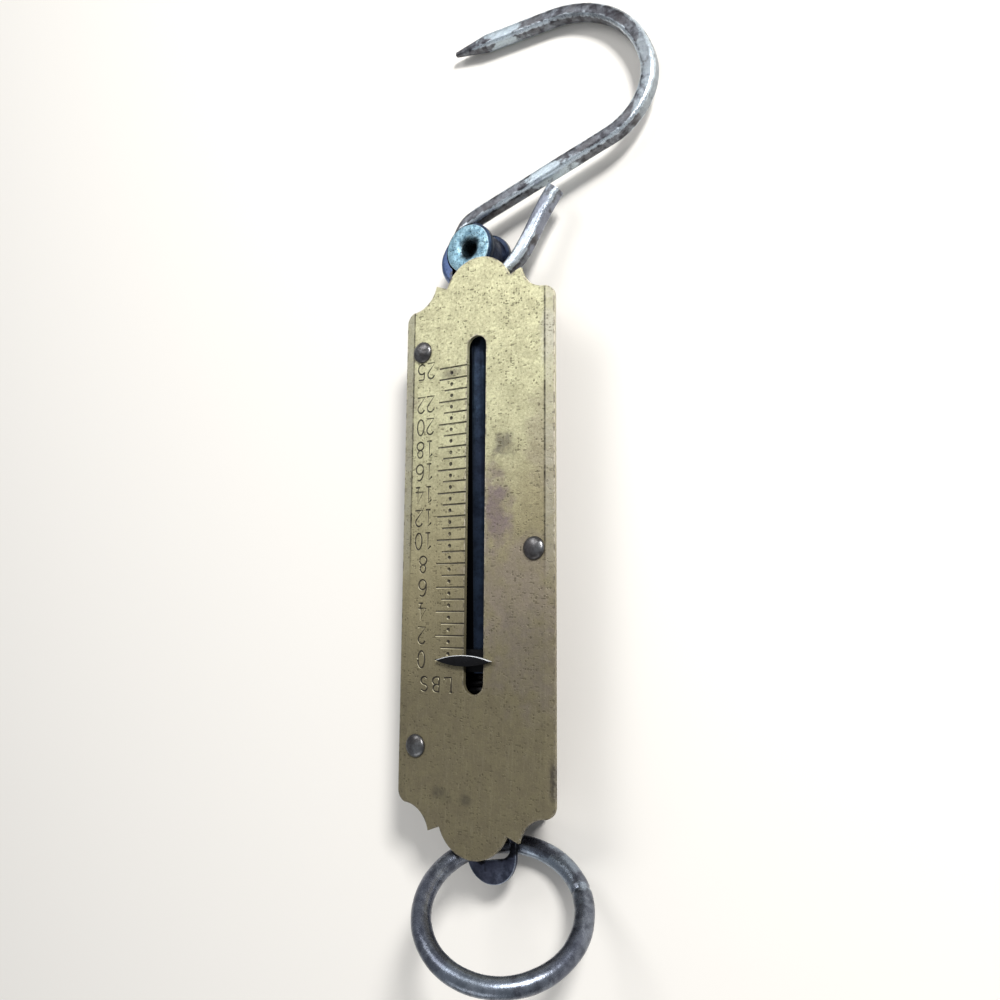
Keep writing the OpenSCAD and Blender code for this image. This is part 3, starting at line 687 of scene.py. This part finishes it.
def old_brass():
    material, tree, surface, vector = start_material("old brass")
    tone, place = add_brass_tone(tree, vector)
    mottle = add_age(tree, GRAIN, vector, Size=3.0, Roughness=0.75, Low=0.36, High=0.66)
    fine = add_age(tree, GRAIN, vector, Size=0.6, Roughness=0.7, Low=0.36, High=0.68)
    tone = add_coat(tree, tone, mottle, 0.42, screen_colour(138, 130, 98))
    tone = add_coat(tree, tone, fine, 0.34, screen_colour(86, 80, 62))
    dots = add_age(tree, SPECKS, vector, Size=0.62, Share=0.60)
    dashes = add_age(tree, SPECKS, vector, Size=0.75, Share=0.52, Stretch=(0.5, 1.5, 1.0))
    strewn = add_age(tree, GRAIN, vector, Size=5.0, Roughness=0.6, Low=0.34, High=0.60)
    marks = add_math(tree, "MULTIPLY", add_math(tree, "MAXIMUM", dots, dashes),
                     add_math(tree, "MULTIPLY_ADD", strewn, 0.8, 0.2))
    tone = add_coat(tree, tone, marks, 0.62, screen_colour(74, 68, 48))
    slanted = add_node(tree, "ShaderNodeVectorRotate", {"Vector": vector, "Angle": SCRATCH_TURN},
                       rotation_type="Z_AXIS").outputs[0]
    lines = add_age(tree, SCRATCHES, slanted, Size=0.9, Length=16.0, Share=0.22)
    tone = add_coat(tree, tone, lines, 0.07, screen_colour(206, 198, 172))
    across = add_math(tree, "ABSOLUTE", place.outputs["X"])
    off_crease = add_math(tree, "ABSOLUTE", add_math(tree, "SUBTRACT", across, CREASE_X))
    crease = add_math(tree, "SUBTRACT", 1.0, add_ramp(tree, off_crease, 0.00010, 0.00034))
    upper = add_ramp(tree, place.outputs["Y"], -0.012, 0.006)
    broken = add_math(tree, "MULTIPLY_ADD", mottle, 0.55, 0.45)
    crease = add_math(tree, "MULTIPLY", crease, add_math(tree, "MULTIPLY", upper, broken))
    tone = add_coat(tree, tone, crease, 0.95, DIRT)
    # painted sheen: on the hook half the margins outside the crease are painted a paler grey, the
    # tone of the light they catch
    margin = add_math(tree, "MULTIPLY", add_ramp(tree, across, 0.01690, 0.01720), upper)
    grey = add_math(tree, "MULTIPLY", margin, add_math(tree, "MULTIPLY_ADD", mottle, -0.35, 0.6))
    tone = add_mix(tree, grey, tone, screen_colour(168, 164, 150))
    worn = add_node(tree, "ShaderNodeAttribute", attribute_name="worn").outputs["Fac"]
    grainy = add_math(tree, "MULTIPLY_ADD", fine, 0.7, worn)
    # painted highlight: the rubbed rims are painted paler towards the hook end, where the lamp's
    # light falls, on top of the real wear
    rubbed = add_math(tree, "MULTIPLY", add_ramp(tree, grainy, 0.62, 1.2),
                      add_math(tree, "MULTIPLY_ADD", upper, 0.75, 0.25))
    tone = add_coat(tree, tone, rubbed, 0.75, RIM_BRASS)
    nibbles = add_age(tree, GRAIN, vector, Size=1.6, Roughness=0.7, Low=0.48, High=0.60)
    nibbles = add_math(tree, "MULTIPLY", nibbles, add_ramp(tree, worn, 0.15, 0.6))
    tone = add_coat(tree, tone, nibbles, 0.7, screen_colour(84, 78, 68))
    dull = add_math(tree, "MULTIPLY_ADD", fine, 0.16, 0.38)
    dull = add_math(tree, "MULTIPLY_ADD", marks, 0.2, dull)
    feed(tree, surface, {"Base Color": tone, "Metallic": 0.55, "Roughness": dull})
    height = add_math(tree, "SUBTRACT", add_math(tree, "MULTIPLY_ADD", fine, 0.35, mottle), marks)
    add_bump(tree, surface, height, 0.00003)
    return material


def groove_brass():
    """The walls of the stamped marks: dirt, and a painted highlight on the walls that face the
    light lower down.
    """
    material, tree, surface, vector = start_material("stamped grooves")
    tone, place = add_brass_tone(tree, vector)
    grain = add_age(tree, GRAIN, vector, Size=0.8, Roughness=0.6, Low=0.2, High=0.6)
    upper = add_ramp(tree, place.outputs["Y"], -0.012, 0.006)
    depth = add_math(tree, "SUBTRACT", PLATE_TOP, place.outputs["Z"])
    filled = add_ramp(tree, depth, 0.00001, 0.00008)
    dirt = add_math(tree, "MULTIPLY", filled, add_math(tree, "MULTIPLY_ADD", grain, 0.25, 0.72))
    # painted highlight: groove walls that face the lamps are painted bright in the lower half
    normal = add_node(tree, "ShaderNodeTexCoord").outputs["Normal"]
    facing = add_node(tree, "ShaderNodeVectorMath", {0: normal, 1: (0.45, 0.9, 0.0)},
                      operation="DOT_PRODUCT").outputs["Value"]
    lit = add_math(tree, "MULTIPLY", add_ramp(tree, facing, 0.38, 0.75),
                   add_math(tree, "MULTIPLY_ADD", upper, -0.85, 0.9))
    hollow = add_mix(tree, dirt, tone, DIRT)
    feed(tree, surface, {"Base Color": add_mix(tree, lit, hollow, LIT_WALL_BRASS),
                         "Metallic": 0.4, "Roughness": 0.55})
    return material


OLD_BRASS = old_brass()
GROOVE_BRASS = groove_brass()
print("brass patches", len(BRASS_PATCHES))

# %% [markdown]
# The blank and the stamp meet in a Boolean modifier. It is applied to a new mesh, because a
# live one would need its cutter in the scene, and the cutter is no part of the balance.

# %% Face plate with its scale
face_plate = add_piece(plate, "brass_face", [OLD_BRASS, GROOVE_BRASS], None,
                       nodes=["face_plate"], smooth=False)
stamp_mesh = bpy.data.meshes.new("stamp")
stamp.to_mesh(stamp_mesh)
stamp.free()
stamp_mesh.materials.append(OLD_BRASS)
stamp_mesh.materials.append(GROOVE_BRASS)
stamp_object = bpy.data.objects.new("stamp", stamp_mesh)
scene.collection.objects.link(stamp_object)
cut = face_plate.modifiers.new("scale", "BOOLEAN")
cut.object = stamp_object
cut.operation = "DIFFERENCE"
cut.solver = "EXACT"
cut.use_self = True
cut_mesh = bpy.data.meshes.new_from_object(
    face_plate.evaluated_get(bpy.context.evaluated_depsgraph_get()))
face_plate.modifiers.clear()
face_plate.data = cut_mesh
for helper in (stamp_object, rods_object):
    bpy.data.objects.remove(helper)
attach(face_plate, "casing")
for face in cut_mesh.polygons:
    face.use_smooth = face.material_index == 1
print("brass face:", len(cut_mesh.polygons), "faces,",
      sum(face.material_index == 1 for face in cut_mesh.polygons), "of them in the grooves")

# %% [markdown]
# ## Rivets of the face
# Three steel rivets hold the brass to the casing. Above the face each is a low dome, behind
# the casing a flatter button, with a shank between. One profile from the axis outwards, spun
# full round, gives a rivet, and a few hammer facets come from moving its points a little.


# %% Rivets
def spin_profile(shape, profile, centre):
    """Spins a chain of points (radius, height) in millimetres into a closed solid."""
    points = [shape.verts.new((radius * MM, 0.0, height * MM)) for radius, height in profile]
    chain = [shape.edges.new(pair) for pair in zip(points, points[1:])]
    bmesh.ops.spin(shape, geom=points + chain, cent=(0, 0, 0), axis=(0, 0, 1),
                   angle=math.tau, steps=40, use_merge=True)
    bmesh.ops.remove_doubles(shape, verts=shape.verts, dist=0.001 * MM)
    bmesh.ops.recalc_face_normals(shape, faces=shape.faces)
    bmesh.ops.transform(shape, verts=shape.verts, matrix=Matrix.Translation(centre))


FACE = 14.4
BACK = 12.7
RIVET_PROFILE = (
    [(0.0, FACE + 1.1)]
    + [(2.45 * math.sin(math.radians(a)), FACE + 0.16 + 0.94 * math.cos(math.radians(a)))
       for a in range(12, 91, 13)]
    + [(2.45, FACE + 0.05), (2.38, FACE + 0.003), (1.45, FACE + 0.003), (1.45, BACK - 0.003),
       (2.02, BACK - 0.003), (2.1, BACK - 0.1), (2.08, BACK - 0.4), (1.8, BACK - 0.62),
       (1.1, BACK - 0.7), (0.0, BACK - 0.7)])
RIVETS = {"rivet_upper": (-14.4, 44.0), "rivet_middle": (14.4, -1.2), "rivet_lower": (-14.4, -42.0)}
DOME_START = FACE + 0.2
DENT_DEPTH = 0.10 * MM
DENTS_PER_METRE = 900.0

for node, (x, y) in RIVETS.items():
    rivet = bmesh.new()
    spin_profile(rivet, RIVET_PROFILE, (x * MM, y * MM, 0.0))
    for vert in rivet.verts:
        if vert.co.z > DOME_START * MM:
            dent = noise.noise(vert.co * DENTS_PER_METRE + Vector((x, y, 0.0)))
            vert.co.z -= DENT_DEPTH * max(0.0, dent)
    add_piece(rivet, node + "_dome", [RIVET_STEEL], "casing", nodes=[node])

# %% [markdown]
# ## Casing, fork and tongue, with bush, hollow rivet and pin
# These are bent and punched sheet and the small turned parts in it. Their solids have the
# right form, so their meshes are copied, and every sharp edge gets a small round that a file
# or use would leave. The last value of each row is that round's width in millimetres.

# %% Sheet metal and turned pieces from their solids
SHEET_PIECES = {
    "back_casing": ("casing_trough", CASING_STEEL, "casing", 0.15),
    "draw_tube": ("draw_tube_fork", TUBE_STEEL, "draw_gear", 0.14),
    "ring_hanger": ("ring_tongue", TONGUE_STEEL, "casing", 0.14),
    "fork_bush": ("eye_bush", BLUED_STEEL, "draw_gear", 0.12),
    "hook_rivet": ("hollow_hook_rivet", RIVET_HEAD_SHEEN_STEEL, "draw_gear", 0.08),
    "anchor_pin": ("spring_pin", SPRING_STEEL, "draw_gear", 0.1),
}
for node, (name, steel, body, width) in SHEET_PIECES.items():
    shape = solid_copy(node)
    round_edges(shape, width * MM)
    add_piece(shape, name, [steel], body, nodes=[node])

# %% [markdown]
# ## Pointer
# The pointer is a small lens of black sheet that stands on the tube and lies across the slot.
# Its faces on the hook side, where the lamp's light falls, are painted bright as a painted
# highlight, through the attribute "worn".

# %% Pointer
pointer = solid_copy("pointer")
round_edges(pointer, 0.2 * MM, keep=lambda edge: all(vert.co.z > PLATE_TOP for vert in edge.verts))
worn = worn_layer(pointer)
for face in pointer.faces:
    # painted highlight: the faces towards the hook, lit by the lamp there, are painted bright
    # through "worn"
    bright = face.normal.y > 0.25 and face.calc_center_median().z > PLATE_TOP
    for corner in face.loops:
        corner[worn] = 1.3 if bright else 0.0
add_piece(pointer, "lens_pointer", [POINTER_STEEL], "draw_gear", nodes=["pointer"])

# %% [markdown]
# ## Main spring
# A close-wound spring lies in the tube: 46 turns of 1.4 mm wire. A circle that is spun round
# the coil's axis and pushed along it a little at each step makes the coil. The spring is held
# by the casing at one end and pulled by the tube at the other.

# %% Main spring
SPRING_WIRE = 1.4 * MM
COIL_RADIUS = 3.9 * MM
COIL_TURNS = 46
STEPS_PER_TURN = 20
COIL_START, COIL_END = 6.4 * MM, 70.8 * MM
COIL_ORIGIN = (0, -51.6 * MM, 6.6 * MM)
SKEW = math.radians(2.0)
LOOP_RADIUS = 3.0 * MM
LOOP_OFFSET = 2.9 * MM
LOOP_ARC = math.radians(330)

coil = bmesh.new()
wire = bmesh.ops.create_circle(coil, segments=8, radius=SPRING_WIRE / 2)["verts"]
bmesh.ops.rotate(coil, verts=wire, cent=(0, 0, 0), matrix=Matrix.Rotation(math.pi / 2, 3, "X"))
bmesh.ops.translate(coil, verts=wire, vec=(COIL_RADIUS, 0, COIL_START + SPRING_WIRE / 2))
push = (COIL_END - COIL_START - SPRING_WIRE) / (COIL_TURNS * STEPS_PER_TURN)
bmesh.ops.spin(coil, geom=coil.verts[:] + coil.edges[:], cent=(0, 0, 0), axis=(0, 0, 1),
               dvec=(0, 0, push), angle=math.tau * COIL_TURNS, steps=COIL_TURNS * STEPS_PER_TURN,
               use_merge=False)
bmesh.ops.holes_fill(coil, edges=[edge for edge in coil.edges if edge.is_boundary], sides=8)
print("coil from", round(min(vert.co.z for vert in coil.verts) / MM, 2),
      "to", round(max(vert.co.z for vert in coil.verts) / MM, 2), "mm")

for opening, loop_centre in ((105, COIL_START - LOOP_OFFSET), (-75, COIL_END + LOOP_OFFSET)):
    eye = bmesh.new()
    wire = bmesh.ops.create_circle(eye, segments=8, radius=SPRING_WIRE / 2)["verts"]
    bmesh.ops.translate(eye, verts=wire, vec=(LOOP_RADIUS, 0, 0))
    bmesh.ops.spin(eye, geom=eye.verts[:] + eye.edges[:], cent=(0, 0, 0), axis=(0, 1, 0),
                   angle=LOOP_ARC, steps=26, use_merge=False)
    bmesh.ops.holes_fill(eye, edges=[edge for edge in eye.edges if edge.is_boundary], sides=8)
    place = (Matrix.Translation((0, 0, loop_centre))
             @ Matrix.Rotation(math.radians(opening), 4, "Y"))
    bmesh.ops.transform(eye, verts=eye.verts, matrix=place)
    loop_mesh = bpy.data.meshes.new("loop")
    eye.to_mesh(loop_mesh)
    eye.free()
    coil.from_mesh(loop_mesh)
bmesh.ops.recalc_face_normals(coil, faces=coil.faces)
to_tube = (Matrix.Translation(COIL_ORIGIN) @ Matrix.Rotation(SKEW, 4, "Z")
           @ Matrix.Rotation(-math.pi / 2, 4, "X") @ Matrix.Rotation(math.pi / 2, 4, "Z"))
bmesh.ops.transform(coil, verts=coil.verts, matrix=to_tube)
spring = add_piece(coil, "coil_spring", [SPRING_STEEL], None, nodes=["main_spring"])
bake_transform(spring)

# %% [markdown]
# ## Suspension ring
# The ring is bent from round wire of 4.1 mm and its ends are butted, which leaves a small
# notch. A torus is a circle spun full round. Its points are then moved by a soft noise so
# that the wire is a little uneven, as a forged ring is, and pinched in at the joint.

# %% Suspension ring
RING_RADIUS = 15.8 * MM
RING_WIRE = 4.1 * MM
RING_PLACE = (-0.7 * MM, -61.9 * MM, 6.6 * MM)
RING_TURNS = {"Z": 11.1, "Y": 37.7, "X": -46.6}
JOINT_ANGLE = math.radians(2)
JOINT_DEPTH, JOINT_WIDTH = 0.22, 0.3

ring = bmesh.new()
wire = bmesh.ops.create_circle(ring, segments=28, radius=RING_WIRE / 2)["verts"]
bmesh.ops.rotate(ring, verts=wire, cent=(0, 0, 0), matrix=Matrix.Rotation(math.pi / 2, 3, "X"))
bmesh.ops.translate(ring, verts=wire, vec=(RING_RADIUS, 0, 0))
bmesh.ops.spin(ring, geom=ring.verts[:] + ring.edges[:], cent=(0, 0, 0), axis=(0, 0, 1),
               angle=math.tau, steps=150, use_merge=True)
bmesh.ops.remove_doubles(ring, verts=ring.verts, dist=0.001 * MM)
bmesh.ops.recalc_face_normals(ring, faces=ring.faces)
for vert in ring.verts:
    spine = Vector((vert.co.x, vert.co.y, 0)).normalized() * RING_RADIUS
    out = (vert.co - spine).normalized()
    uneven = noise.noise(vert.co * 140.0) * 0.09 + noise.noise(vert.co * 420.0) * 0.035
    away = math.atan2(spine.y, spine.x) - JOINT_ANGLE
    gap = abs(math.remainder(away, math.tau)) * RING_RADIUS / MM
    notch = JOINT_DEPTH * math.exp(-(gap / JOINT_WIDTH) ** 2)
    vert.co -= out * MM * (0.06 + uneven + notch)
to_slot = Matrix.Translation(RING_PLACE)
for axis, degrees in RING_TURNS.items():
    to_slot = to_slot @ Matrix.Rotation(math.radians(degrees), 4, axis)
to_slot = to_slot @ Matrix.Translation((0, -RING_RADIUS, 0))
bmesh.ops.transform(ring, verts=ring.verts, matrix=to_slot)
add_piece(ring, "wire_ring", [RING_STEEL], "ring", nodes=["suspension_ring"])

# %% [markdown]
# ## S-hook
# The hook is forged from a square bar with rounded corners, so light runs along it in bright
# and dark stripes, which a round bar would not show. The section is a square with bevelled
# corners. It is pushed along the straights and spun round the bends, from the cut end of the
# short leg, round the eye, up the shank and over the crown to the tip, where it is drawn out
# to a point. The corners of the section carry "worn", so they shine.

# %% S-hook
BAR = 3.6 * MM
CORNER = 1.15 * MM
LEG_LENGTH = 20.2 * MM
EYE_RADIUS, EYE_TURN = 8.6 * MM, -213.8
SHANK_LENGTH = 36.5 * MM
BOWL_BENDS = ((13.3 * MM, 84.4), (25.7 * MM, 76.7))
END_LENGTH = 17.6 * MM
TIP_LENGTH, TIP_SHARE = 9.0 * MM, 0.3
EYE_TUCK = 1.9 * MM
EYE_TUCK_AT = 46.0 * MM
EYE_TUCK_REACH = 4.5 * MM
LEG_BELLY = 2.3 * MM
LEG_BELLY_AT = 17.0 * MM
BELLY_BEFORE, BELLY_AFTER = 10.0 * MM, 6.0 * MM
FORK_AXIS = (-4.153 * MM, 67.327 * MM, 7.3 * MM)
HOOK_DROOP = math.radians(-5.2)
HOOK_TURN = math.radians(18.3)
EYE_SLACK = 1.3 * MM


def bar_section(shape):
    """A square with rounded corners in the plane X = 0; returns its edges."""
    made = bmesh.ops.create_circle(shape, segments=4, radius=BAR / math.sqrt(2))
    bmesh.ops.rotate(shape, verts=made["verts"], cent=(0, 0, 0),
                     matrix=Matrix.Rotation(math.pi / 4, 3, "Z"))
    bmesh.ops.bevel(shape, geom=made["verts"], offset=CORNER, offset_type="OFFSET",
                    affect="VERTICES", segments=4, profile=0.5, material=-1)
    bmesh.ops.subdivide_edges(shape, edges=[edge for edge in shape.edges
                                            if edge.calc_length() > CORNER], cuts=2)
    bmesh.ops.rotate(shape, verts=shape.verts, cent=(0, 0, 0),
                     matrix=Matrix.Rotation(math.pi / 2, 3, "Y"))
    return shape.edges[:]


hook = bmesh.new()
front = bar_section(hook)
place = Matrix.Identity(4)
rows = []


def note_row(distance):
    rows.append(({vert for edge in front for vert in edge.verts}, distance, place.copy()))


def push_on(length, parts):
    """Pushes the section straight on along the bar's own X."""
    global front, place
    for _ in range(parts):
        step = place.to_3x3() @ Vector((length / parts, 0, 0))
        made = bmesh.ops.extrude_edge_only(hook, edges=front)["geom"]
        new_verts = {item for item in made if isinstance(item, bmesh.types.BMVert)}
        front = [item for item in made if isinstance(item, bmesh.types.BMEdge)
                 and new_verts.issuperset(item.verts)]
        bmesh.ops.translate(hook, verts=list(new_verts), vec=step)
        place = Matrix.Translation(step) @ place
        note_row(length / parts)


def bend(radius, degrees):
    """Spins the section round a centre on its left, or on its right for a negative turn."""
    global front, place
    parts = max(2, round(abs(degrees) / 4))
    centre = place @ Vector((0, math.copysign(radius, degrees), 0))
    for _ in range(parts):
        turn = math.radians(degrees) / parts
        made = bmesh.ops.spin(hook, geom=front, cent=centre, axis=(0, 0, 1), angle=turn,
                              steps=1, use_merge=False)
        front = [item for item in made["geom_last"] if isinstance(item, bmesh.types.BMEdge)]
        swing = (Matrix.Translation(centre) @ Matrix.Rotation(turn, 4, "Z")
                 @ Matrix.Translation(-centre))
        place = swing @ place
        note_row(radius * abs(turn))


note_row(0.0)
push_on(LEG_LENGTH, 12)
bend(EYE_RADIUS, EYE_TURN)
eye_end = place.copy()
push_on(SHANK_LENGTH, 20)
for radius, degrees in BOWL_BENDS:
    bend(radius, degrees)
push_on(END_LENGTH, 10)
push_on(TIP_LENGTH, 9)
print("hook rows", len(rows), "faces", len(hook.faces))

# %% [markdown]
# The tip narrows over its last 9 mm. Each row of the bar is also scaled a little by noise
# along the bar, as hammer work leaves it. Two soft humps then shift the rows sideways, as in
# the photograph: the eye is tucked in at one side, and the short leg bows out. The corners
# are marked as worn, and the bar is set round the fork's rivet.

# %% Tip, hammer marks and place of the hook
total = sum(length for _, length, _ in rows)
travelled = 0.0
for verts, length, spot in rows:
    travelled += length
    left = total - travelled
    narrow = 1.0 if left > TIP_LENGTH else TIP_SHARE + (1 - TIP_SHARE) * left / TIP_LENGTH
    uneven = 0.975 + 0.022 * noise.noise(Vector((travelled * 160.0, 1.5, 0.0)))
    flat = 1.0 + 0.02 * noise.noise(Vector((travelled * 240.0, 7.5, 0.0)))
    size = Matrix.Diagonal((1.0, narrow * uneven * flat, narrow * uneven / flat, 1.0))
    inner = spot.inverted()
    along_eye = (travelled - EYE_TUCK_AT) / EYE_TUCK_REACH
    belly_reach = BELLY_BEFORE if travelled < LEG_BELLY_AT else BELLY_AFTER
    along_leg = (travelled - LEG_BELLY_AT) / belly_reach
    tuck = EYE_TUCK * math.exp(-along_eye ** 2) - LEG_BELLY * math.exp(-along_leg ** 2)
    for vert in verts:
        vert.co = spot @ Matrix.Translation((0, -tuck, 0)) @ size @ inner @ vert.co
bmesh.ops.holes_fill(hook, edges=[edge for edge in hook.edges if edge.is_boundary], sides=0)
bmesh.ops.recalc_face_normals(hook, faces=hook.faces)
worn = worn_layer(hook)
for verts, _, spot in rows:
    inner = spot.inverted()
    for vert in verts:
        local = inner @ vert.co
        corner_share = min(abs(local.y), abs(local.z)) / (BAR / 2)
        for corner in vert.link_loops:
            corner[worn] = max(0.0, (corner_share - 0.22) / 0.5)
to_fork = (Matrix.Translation(FORK_AXIS) @ Matrix.Rotation(HOOK_DROOP, 4, "X")
           @ Matrix.Translation((0, EYE_SLACK, 0)) @ Matrix.Rotation(HOOK_TURN, 4, "Z")
           @ Matrix.Translation((0, EYE_RADIUS, 0)))
bmesh.ops.transform(hook, verts=hook.verts, matrix=to_fork @ eye_end.inverted())
low = [min(vert.co[axis] for vert in hook.verts) / MM for axis in range(3)]
high = [max(vert.co[axis] for vert in hook.verts) / MM for axis in range(3)]
print("hook box", [round(value, 2) for value in low + high])
add_piece(hook, "forged_hook", [HOOK_STEEL], "hook", nodes=["s_hook"])
